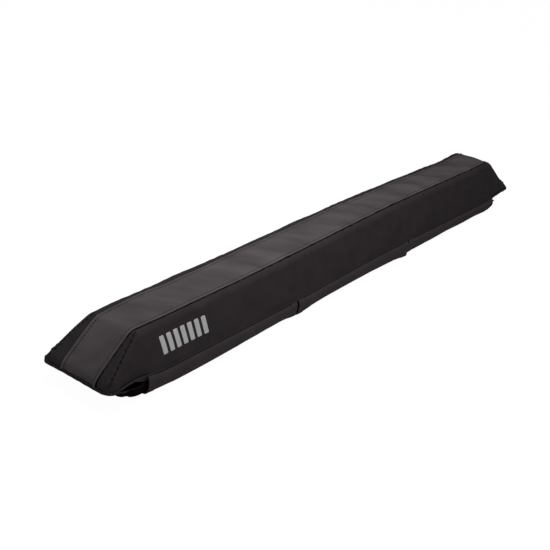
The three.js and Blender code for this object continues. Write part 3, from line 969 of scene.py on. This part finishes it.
def innerFlapLine():
    form = flapForm
    foot = flapTopHalf - form["floorTurn"]
    level = form["innerFloor"]
    edge = flapTopHalf - form["innerFromWall"]
    turn = edge - form["innerTurn"]
    wall = bezier([
        (flapTopHalf, flapTop),
        (flapTopHalf + form["upperBulge"], flapTop * form["upperLevel"]),
        (flapTopHalf + form["bulge"], level),
        (foot, level),
    ])
    floor = np.linspace((foot, level), (-turn, level), 50)
    curl = bezier([
        (-turn, level),
        (-edge + form["innerTurn"] * 0.25, level),
        (-edge - form["innerLean"] * 0.5, level + form["innerRise"] * 0.35),
        (-edge + form["innerLean"], level + form["innerRise"]),
    ])
    return joined(wall, floor, curl)


# Points at lengths along a flap's line, pushed off it towards the bar
def onLine(line, lengths, inward, towardBar):
    run = lengthAlong(line)
    tangent = np.gradient(line, axis=0)
    tangent = tangent / np.linalg.norm(tangent, axis=1, keepdims=True)
    y = np.interp(lengths, run, line[:, 0])
    z = np.interp(lengths, run, line[:, 1])
    tangentY = np.interp(lengths, run, tangent[:, 0])
    tangentZ = np.interp(lengths, run, tangent[:, 1])
    return y - tangentZ * towardBar * inward, z + tangentY * towardBar * inward


# How the lower fold of the flaps wanders along the pad, near side and far side
flapSag = {
    "places": (-0.337, -0.322, -0.300, -0.275, -0.240, -0.210, -0.187, -0.163, -0.138, -0.118, -0.108,
               -0.098, -0.080, -0.050, -0.025, 0.0, 0.060, 0.090, 0.109,
               0.113, 0.138, 0.163, 0.200, 0.250, 0.290, 0.318, 0.329, 0.337),
    "lifts": (0.0020, 0.0005, -0.0006, -0.0004, -0.0009, -0.0009, 0.0001, 0.0014, 0.0006, -0.0010, -0.0018,
              -0.0013, 0.0002, 0.0012, 0.0018, 0.0011, 0.0009, -0.0001, -0.0026,
              0.0008, 0.0009, 0.0015, 0.0005, 0.0009, 0.0002, -0.0010, -0.0002, 0.0024),
    "farLift": 0.0008,
    "levels": (0.011, 0.002),
    "sideAcross": (0.026, 0.036),
    "outward": 1.25,
    "mouthRound": 0.019,
    "mouthEnd": -0.362,
    "mouthReach": 0.009,
    "mouthBow": 1.7,
    "riseAcross": (0.030, 0.010),
    "openAlong": (-0.335, -0.340),
    "openAcross": (0.0, -0.015, -0.035),
    "mouthRise": 0.0066,
    "mouthBack": 0.0008,
    "mouthSag": 0.0018,
    "mouthOut": 0.0014,
    "lowest": 0.15,
}


def warpFlap(points):
    look = flapSag
    x, y, z = points[..., 0], points[..., 1], points[..., 2]
    near = np.interp(x, look["places"], look["lifts"])
    far = look["farLift"] * ripples(x, 0 * x, 0.13, 1, 83)
    low = smoothStep(*look["levels"], z)
    atNear = smoothStep(*look["sideAcross"], -y) * low
    atFar = smoothStep(*look["sideAcross"], y) * low
    fromEnd = np.clip(1 - (x - look["mouthEnd"]) / look["mouthReach"], 0, 1)
    curl = fromEnd ** look["mouthBow"] * smoothStep(*look["riseAcross"], y)
    fromX = np.maximum(look["mouthEnd"] + look["mouthRound"] - x, 0)
    fromY = np.maximum(look["mouthRound"] - flapTopHalf - y, 0)
    pull = 1 - np.maximum(fromX, fromY) / np.maximum(np.hypot(fromX, fromY), 1e-9)
    pull = np.where((fromX > 0) & (fromY > 0), pull, 0)
    middle, nearIn, nearEdge = look["openAcross"]
    atMouth = smoothStep(*look["openAlong"], x) * smoothStep(middle, nearIn, y)
    lift = np.maximum(near, 0) * atNear + np.maximum(far, -z * 0.9) * atFar
    lift = lift + look["mouthRise"] * curl - look["mouthSag"] * atMouth
    out = look["outward"] * np.minimum(near, 0) * atNear
    out = out - look["mouthOut"] * atMouth * smoothStep(nearIn, nearEdge, y)
    newX = x + look["mouthBack"] * curl + fromX * pull
    return np.stack([newX, y + out + fromY * pull, np.maximum(z + lift, look["lowest"] * z)], axis=-1)


def flapColumns(left, right, spacing=0.0024):
    near = np.array([0, 0.0002, 0.0005, 0.0009, 0.0014, 0.002, 0.0028, 0.0038, 0.005, 0.0065, 0.008,
                     0.009, 0.0095, flapForm["hemWidth"], 0.0105, 0.011, 0.0125])
    middle = np.linspace(left + 0.0145, right - 0.0145, round((right - left) / spacing))
    return np.concatenate([left + near, middle, (right - near)[::-1]])


def flapSheet(name, line, towardBar, span, spec, material):
    xs = flapColumns(*span)
    fromSide = np.minimum(xs - span[0], span[1] - xs)
    reach = spec["end"] - cornerCut(fromSide, spec["corner"])
    shares = np.concatenate([np.linspace(0, 0.96, spec["rows"]), [0.97, 0.98, 0.986, 0.992, 0.996, 1]])
    lengths = spec["start"] + shares[:, None] * (reach[None] - spec["start"])
    fromSide = np.broadcast_to(fromSide[None], lengths.shape)
    fromFree = reach[None] - lengths
    fromEdge = np.minimum(fromSide, fromFree)
    x = np.broadcast_to(xs[None], lengths.shape)
    width, edge = flapForm["hemWidth"], flapForm["hemEdge"]
    hem = spec["hemExtra"] * smoothStep(width + edge, width - edge, fromEdge)
    dip = flapForm["stitchDip"] * bell(fromEdge, width, edge) * (spec["hemExtra"] > 0)
    calm = smoothStep(0, flapForm["calmFrom"], lengths - spec["start"])
    waves = spec["waves"] * ripples(x, lengths, *flapForm["waveLengths"], spec["seed"]) * calm
    off = -(hem - dip + waves) + spec["inward"]
    outerY, outerZ = onLine(line, lengths, off, towardBar)
    innerY, innerZ = onLine(line, lengths, off + spec["thickness"] + hem, towardBar)
    drop = np.sin(math.pi * np.clip(lengths / flapForm["flareDrop"], 0, 1))
    flare = smoothStep(flapForm["flareSide"], 0, fromSide) * drop
    middle = (span[0] + span[1]) / 2
    newX = x + np.where(x < middle, -spec["flare"][0], spec["flare"][1]) * flare
    outer = np.stack([newX, outerY, outerZ], axis=-1)
    through = outer - np.stack([newX, innerY, innerZ], axis=-1)
    depth = np.linalg.norm(through, axis=2)
    normal = through / np.maximum(depth, 1e-9)[..., None]
    if spec["start"] == 0:
        fromEdge = np.where(lengths < 0.002, 1, fromEdge)
    outer, inner = layerUnder(outer, normal, depth, fromEdge)
    outer, inner = warpFlap(outer), warpFlap(inner)
    cloth = np.stack([x, lengths], axis=-1)
    piece = closedSheet(name, outer, inner, cloth, material)
    stitched = [i for i in range(len(xs)) if abs(fromSide[0, i] - width) < 1e-6]
    left, right = stitched[0], stitched[-1]
    lastStitch = reach - width

    def pointAt(column, length):
        return [np.interp(length, lengths[:, column], outer[:, column, axis]) for axis in range(3)]

    path = [pointAt(left, length) for length in np.arange(0.003, lastStitch[left], 0.001)]
    path += [pointAt(column, lastStitch[column]) for column in range(left, right + 1)]
    path += [pointAt(right, length) for length in np.arange(0.003, lastStitch[right], 0.001)[::-1]]
    return piece, np.array(path)


def flapSpans(stem):
    spans = []
    for number in (1, 2, 3):
        low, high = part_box(f"{stem}_{number}")
        spans.append((low.x, high.x))
    return spans


outerLine = outerFlapLine()
innerLine = innerFlapLine()
outerLength = float(lengthAlong(outerLine)[-1])
innerLength = float(lengthAlong(innerLine)[-1])
tapeForm = {
    "gap": 0.0003,
    "hook": 0.0009,
    "hookWidth": 0.022,
    "hookEdge": 0.002,
    "hookEnd": 0.006,
    "loop": 0.0012,
    "loopWidth": 0.062,
    "loopEdge": 0.0009,
    "loopEnd": 0.005,
    "loopWaves": 0.00008,
    "mouthEnd": 0.001,
}
outerSpec = {
    "start": 0,
    "end": outerLength,
    "inward": 0,
    "thickness": flapForm["fabric"],
    "corner": flapForm["corner"],
    "rows": 66,
    "hemExtra": flapForm["hemExtra"],
    "waves": flapForm["waves"],
}
hookSpec = {
    "start": outerLength - tapeForm["hookEdge"] - tapeForm["hookWidth"],
    "end": outerLength - tapeForm["hookEdge"],
    "inward": flapForm["fabric"] + flapForm["hemExtra"] + tapeForm["gap"] / 2,
    "thickness": tapeForm["hook"],
    "corner": flapForm["corner"] / 2,
    "rows": 10,
    "hemExtra": 0,
    "waves": 0,
    "seed": 0,
    "flare": (0, 0),
}
innerSpec = {
    "start": 0,
    "end": innerLength,
    "inward": 0,
    "thickness": flapForm["fabric"],
    "rows": 76,
    "hemExtra": flapForm["innerHemExtra"],
    "waves": flapForm["innerWaves"],
    "flare": (0, 0),
}
loopSpec = {
    "start": innerLength - tapeForm["loopEdge"] - tapeForm["loopWidth"],
    "end": innerLength - tapeForm["loopEdge"],
    "inward": -tapeForm["loop"] - tapeForm["gap"],
    "thickness": tapeForm["loop"],
    "rows": 56,
    "hemExtra": 0,
    "waves": tapeForm["loopWaves"],
    "flare": (0, 0),
}
slitFlares = {1: (0.0012, -0.0005), 2: (-0.0010, 0.0015), 3: (0.0013, 0.0008)}
flapStitches = []
for number, span in enumerate(flapSpans("outer_flap"), start=1):
    spec = {**outerSpec, "seed": 90 + number, "flare": slitFlares[number]}
    flap, path = flapSheet(f"near_flap_{number}", outerLine, 1, span, spec, flapFabricPaintedLighter)
    ridesOnPad(flap, "flap_fabric", f"outer_flap_{number}")
    flapStitches.append(path)
    print(flap.name, "cut flat to", round(span[1] - span[0], 4), round(outerLength, 4))
    taped = (span[0] + tapeForm["hookEnd"], span[1] - tapeForm["hookEnd"])
    hooks, _ = flapSheet(f"hook_tape_{number}", outerLine, 1, taped, hookSpec, hookTape)
    ridesOnPad(hooks, "hook_tape", f"hook_strip_{number}")
for number, span in enumerate(flapSpans("inner_flap"), start=1):
    atMouth = number == 1
    corner = flapForm["innerCorner"] + (0 if atMouth else flapForm["innerCornerExtra"])
    spec = {**innerSpec, "seed": 95 + number, "corner": corner}
    flap, path = flapSheet(f"far_flap_{number}", innerLine, -1, span, spec, flapFabricPaintedLighter)
    ridesOnPad(flap, "flap_fabric", f"inner_flap_{number}")
    flapStitches.append(path)
    print(flap.name, "cut flat to", round(span[1] - span[0], 4), round(innerLength, 4))
    taped = (span[0] + tapeForm["mouthEnd" if atMouth else "loopEnd"], span[1] - tapeForm["loopEnd"])
    spec = {**loopSpec, "seed": 110 + number, "corner": corner - tapeForm["loopEdge"]}
    loops, _ = flapSheet(f"loop_tape_{number}", innerLine, -1, taped, spec, loopTape)
    ridesOnPad(loops, "loop_tape", f"loop_patch_{number}")
print("flaps made")


# The tape inside the tunnel along each flap seam

hemTapeForm = {
    "thickness": 0.0008,
    "rise": 0.0004,
    "hang": 0.0045,
    "endHang": 0.35,
    "endReach": 0.014,
    "inside": 0.0018,
    "lean": 0.0008,
    "wave": 0.0005,
}


def hemTape(name, side, node, seed):
    form = hemTapeForm
    low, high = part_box(node)
    xs = np.linspace(low.x, high.x, 280)
    shares = np.linspace(0, 1, 9)
    fromEnd = np.minimum(xs - xs[0], xs[-1] - xs)
    full = smoothStep(0, form["endReach"], fromEnd)
    hang = form["hang"] * (form["endHang"] + (1 - form["endHang"]) * full)
    x = np.broadcast_to(xs[:, None], (len(xs), len(shares)))
    z = hemLevel + form["rise"] - hang[:, None] * shares[None]
    wave = form["wave"] * ripples(x, z, 0.03, 0.02, seed) * shares[None]
    y = side * (flapTopHalf - form["inside"] - form["lean"] * shares[None] ** 2 + wave)
    outer = np.stack([x, y, z], axis=-1)
    normal = outwardFrom(outer, 0)
    away = normal * np.sign((normal[..., 1] * side).sum())
    cloth = np.stack([x, z], axis=-1)
    fromEdge = np.minimum(hang[:, None] * (1 - shares[None]), fromEnd[:, None])
    front, back = layerUnder(outer, away, form["thickness"], fromEdge)
    return closedSheet(name, front, back, cloth, flapFabricPaintedLighter)


hemTapes = [(-1, "near_seam_tape", "near_hem_tape", 121), (1, "far_seam_tape", "far_hem_tape", 131)]
for side, name, node, seed in hemTapes:
    tapePiece = hemTape(name, side, node, seed)
    ridesOnPad(tapePiece, "flap_fabric", node)
print("seam tapes made")


# Stitches

def stitchTree(material):
    tree = bpy.data.node_groups.new(f"stitches in {material.name}", "GeometryNodeTree")
    face = tree.interface
    face.new_socket("Geometry", in_out="INPUT", socket_type="NodeSocketGeometry")
    for label in ("Pitch", "Stitch length", "Thread thickness"):
        face.new_socket(label, in_out="INPUT", socket_type="NodeSocketFloat")
    face.new_socket("Geometry", in_out="OUTPUT", socket_type="NodeSocketGeometry")
    nodes, links = tree.nodes, tree.links
    start = nodes.new("NodeGroupInput")
    finish = nodes.new("NodeGroupOutput")
    curve = nodes.new("GeometryNodeMeshToCurve")
    resample = nodes.new("GeometryNodeResampleCurve")
    resample.mode = "LENGTH"
    tangent = nodes.new("GeometryNodeInputTangent")
    align = nodes.new("FunctionNodeAlignRotationToVector")
    align.axis = "Z"
    bead = nodes.new("GeometryNodeMeshUVSphere")
    bead.inputs["Segments"].default_value = 6
    bead.inputs["Rings"].default_value = 6
    bead.inputs["Radius"].default_value = 0.5
    size = nodes.new("ShaderNodeCombineXYZ")
    place = nodes.new("GeometryNodeInstanceOnPoints")
    realize = nodes.new("GeometryNodeRealizeInstances")
    smooth = nodes.new("GeometryNodeSetShadeSmooth")
    paint = nodes.new("GeometryNodeSetMaterial")
    paint.inputs["Material"].default_value = material
    links.new(start.outputs["Geometry"], curve.inputs[0])
    links.new(curve.outputs[0], resample.inputs["Curve"])
    links.new(start.outputs["Pitch"], resample.inputs["Length"])
    links.new(tangent.outputs[0], align.inputs["Vector"])
    links.new(start.outputs["Thread thickness"], size.inputs["X"])
    links.new(start.outputs["Thread thickness"], size.inputs["Y"])
    links.new(start.outputs["Stitch length"], size.inputs["Z"])
    links.new(resample.outputs["Curve"], place.inputs["Points"])
    links.new(bead.outputs["Mesh"], place.inputs["Instance"])
    links.new(align.outputs[0], place.inputs["Rotation"])
    links.new(size.outputs[0], place.inputs["Scale"])
    links.new(place.outputs["Instances"], realize.inputs[0])
    links.new(realize.outputs[0], smooth.inputs[0])
    links.new(smooth.outputs[0], paint.inputs["Geometry"])
    links.new(paint.outputs[0], finish.inputs[0])
    return tree


def stitchRows(name, paths, material, sizes):
    points, edges = [], []
    for path in paths:
        first = len(points)
        points += bowed(np.array(path)).tolist()
        edges += [(first + i, first + i + 1) for i in range(len(path) - 1)]
    mesh = bpy.data.meshes.new(name)
    mesh.from_pydata(points, edges, [])
    guide = bpy.data.objects.new(f"{name} guide", mesh)
    collection.objects.link(guide)
    tree = stitchTree(material)
    modifier = guide.modifiers.new("stitches", "NODES")
    modifier.node_group = tree
    for item in tree.interface.items_tree:
        if item.in_out == "INPUT" and item.name in sizes:
            modifier[item.identifier] = sizes[item.name]
    evaluated = guide.evaluated_get(bpy.context.evaluated_depsgraph_get())
    sewn = bpy.data.meshes.new_from_object(evaluated)
    bpy.data.objects.remove(guide)
    bpy.data.meshes.remove(mesh)
    piece = bpy.data.objects.new(name, sewn)
    collection.objects.link(piece)
    ridesOnPad(piece, "thread")
    return piece


seamStitch = {"Pitch": 0.0033, "Stitch length": 0.0024, "Thread thickness": 0.0009}
flapStitch = {"Pitch": 0.0032, "Stitch length": 0.0025, "Thread thickness": 0.00055}
bindingStitch = {"Pitch": 0.003, "Stitch length": 0.0024, "Thread thickness": 0.0005}
dartStitch = {"Pitch": 0.0030, "Stitch length": 0.0032, "Thread thickness": 0.0010}
dartRise = 0.0002


# Grids given row by row along the pad, read at one place along X
def rowsAt(place, xs, *grids):
    row = np.interp(place, xs, np.arange(len(xs)))
    low = min(int(row), len(xs) - 2)
    return [grid[low] * (1 - row + low) + grid[low + 1] * (row - low) for grid in grids]


# Points down each dart, on the side's own cloth
def dartPaths():
    paths = []
    for side, (xs, outer, normal) in sideFaces.items():
        for end in (-1, 1):
            path = []
            for share in np.linspace(0.0, 1.0, 60):
                top, foot = np.array(sideLook["dartTop"]), np.array(sideLook["dartFoot"])
                x, y = top + (foot - top) * share
                line, = rowsAt(end * x, xs, outer)
                level = np.interp(y, side * line[:, 1], line[:, 2]) + dartRise
                path.append((end * x, side * y, level))
            paths.append(path)
    return paths


stitchRows("seam_stitches", stripStitches, greyThread, seamStitch)
stitchRows("flap_stitches", flapStitches, blackThread, flapStitch)
stitchRows("binding_stitches", bindingStitches, blackThread, bindingStitch)
stitchRows("dart_stitches", dartPaths(), blackThread, dartStitch)
print("stitches sewn")


# Plain slanted bars of reflective film on the near side

barsForm = {
    "count": 7,
    "left": -0.3130,
    "right": -0.2530,
    "low": 0.0150,
    "high": 0.0318,
    "width": 0.0058,
    "slant": -0.12,
    "rounding": 0.0008,
    "film": 0.00018,
    "under": 0.00003,
}


# Places on a side's cloth, each at a given X and height over the hem, and the way out from it there
def onSide(side, x, up):
    xs, outer, normal = sideFaces[side]
    spots, outs = np.zeros(x.shape + (3,)), np.zeros(x.shape + (3,))
    for at in np.ndindex(x.shape):
        line, facing = rowsAt(x[at], xs, outer[:, ::-1], normal[:, ::-1])
        levels = line[:, 2] - hemLevel
        spots[at] = [np.interp(up[at], levels, line[:, axis]) for axis in range(3)]
        outs[at] = [np.interp(up[at], levels, facing[:, axis]) for axis in range(3)]
    return spots, outs


def reflectiveBars():
    form = barsForm
    lean = form["slant"] * (form["high"] - form["low"])
    pitch = (form["right"] - form["left"] - form["width"] - lean) / (form["count"] - 1)
    ups = np.linspace(form["low"], form["high"], 26)
    shares = np.array([0, 0.04, 0.12, 0.3, 0.5, 0.7, 0.88, 0.96, 1])
    up, share = np.meshgrid(ups, shares, indexing="ij")
    half = form["width"] / 2 - cornerCut(np.minimum(up - form["low"], form["high"] - up), form["rounding"])
    points, faces, cloth = [], [], []
    for bar in range(form["count"]):
        middle = form["left"] + form["width"] / 2 + bar * pitch + form["slant"] * (up - form["low"])
        x = middle + (share * 2 - 1) * half
        spots, outs = onSide(-1, x, up)
        faces += (sheetFaces(*x.shape)[:, ::-1] + len(points)).tolist()
        points += (spots + outs * form["film"]).reshape(-1, 3).tolist()
        points += (spots + outs * form["under"]).reshape(-1, 3).tolist()
        cloth += np.stack([x, up], axis=-1).reshape(-1, 2).tolist() * 2
    return meshPiece("reflective_bars", np.array(points), faces, np.array(cloth), film)


bars = reflectiveBars()
ridesOnPad(bars, "reflective_print")
print("bars printed")


# The room: a pale floor, soft light, and the camera

roomLook = {
    "floorSize": 40.0,
    "floorLevel": -0.0005,
    "floorColour": (0.85, 0.85, 0.85, 1),
    "whiteShare": 0.94,
    "glow": 1.04,
    "worldLight": 0.32,
    "lampPower": 3.8,
    "lampSize": (0.45, 0.4),
    "lampPlace": (-0.11, -0.02, 0.68),
}


# One where the camera sees a surface itself or in a reflection, nought where it only gives light
def seenDirectly(tree):
    path = tree.nodes.new("ShaderNodeLightPath")
    mirrored = mathNode(tree, "MAXIMUM", path.outputs["Is Glossy Ray"], path.outputs["Is Transmission Ray"])
    return mathNode(tree, "MAXIMUM", path.outputs["Is Camera Ray"], mirrored)


def paleFloor():
    half = roomLook["floorSize"] / 2
    level = roomLook["floorLevel"]
    corners = [(-half, -half, level), (half, -half, level), (half, half, level), (-half, half, level)]
    mesh = bpy.data.meshes.new("floor")
    mesh.from_pydata(corners, [], [(0, 1, 2, 3)])
    floor = bpy.data.objects.new("floor", mesh)
    collection.objects.link(floor)
    material = bpy.data.materials.new("pale floor")
    material.use_nodes = True
    tree = material.node_tree
    tree.nodes.clear()
    matt = tree.nodes.new("ShaderNodeBsdfDiffuse")
    matt.inputs["Color"].default_value = roomLook["floorColour"]
    glow = tree.nodes.new("ShaderNodeEmission")
    glow.inputs["Strength"].default_value = roomLook["glow"]
    mix = tree.nodes.new("ShaderNodeMixShader")
    output = tree.nodes.new("ShaderNodeOutputMaterial")
    tree.links.new(mathNode(tree, "MULTIPLY", seenDirectly(tree), roomLook["whiteShare"]), mix.inputs[0])
    tree.links.new(matt.outputs[0], mix.inputs[1])
    tree.links.new(glow.outputs[0], mix.inputs[2])
    tree.links.new(mix.outputs[0], output.inputs[0])
    mesh.materials.append(material)


def paleWorld():
    world = bpy.data.worlds.new("studio")
    world.use_nodes = True
    tree = world.node_tree
    background = tree.nodes["Background"]
    background.inputs["Color"].default_value = (1, 1, 1, 1)
    strength = tree.nodes.new("ShaderNodeMapRange")
    strength.inputs["To Min"].default_value = roomLook["worldLight"]
    strength.inputs["To Max"].default_value = 1.0
    tree.links.new(seenDirectly(tree), strength.inputs["Value"])
    tree.links.new(strength.outputs[0], background.inputs["Strength"])
    bpy.context.scene.world = world


def softLamp(name, power, size, place, aim):
    data = bpy.data.lights.new(name, "AREA")
    data.shape = "RECTANGLE"
    data.size, data.size_y = size
    data.energy = power
    lamp = bpy.data.objects.new(name, data)
    lamp.location = place
    lamp.rotation_euler = (Vector(place) - Vector(aim)).to_track_quat("Z", "Y").to_euler()
    collection.objects.link(lamp)


cameraForm = {
    "azimuth": -56.172,
    "elevation": 27.068,
    "roll": 8.154,
    "distance": 1.19225,
    "target": (-0.041675, 0.03651, -0.007663),
    "lens": 68.476,
    "sensor": 36.0,
}


def addCamera():
    form = cameraForm
    azimuth, elevation = math.radians(form["azimuth"]), math.radians(form["elevation"])
    roll = math.radians(form["roll"])
    level = Vector((math.cos(azimuth), math.sin(azimuth), 0))
    away = Vector((math.sin(azimuth), -math.cos(azimuth), 0))
    back = away * math.cos(elevation) + Vector((0, 0, math.sin(elevation)))
    upright = back.cross(level)
    right = level * math.cos(roll) + upright * math.sin(roll)
    up = upright * math.cos(roll) - level * math.sin(roll)
    data = bpy.data.cameras.new("camera")
    data.sensor_width = form["sensor"]
    data.lens = form["lens"]
    camera = bpy.data.objects.new("camera", data)
    turned = Matrix((right, up, back)).transposed().to_4x4()
    camera.matrix_world = Matrix.Translation(Vector(form["target"]) + back * form["distance"]) @ turned
    collection.objects.link(camera)
    bpy.context.scene.camera = camera


paleFloor()
paleWorld()
softLamp("overhead softbox", roomLook["lampPower"], roomLook["lampSize"], roomLook["lampPlace"], (0, 0, 0))
addCamera()
bpy.context.scene.view_settings.view_transform = "Standard"
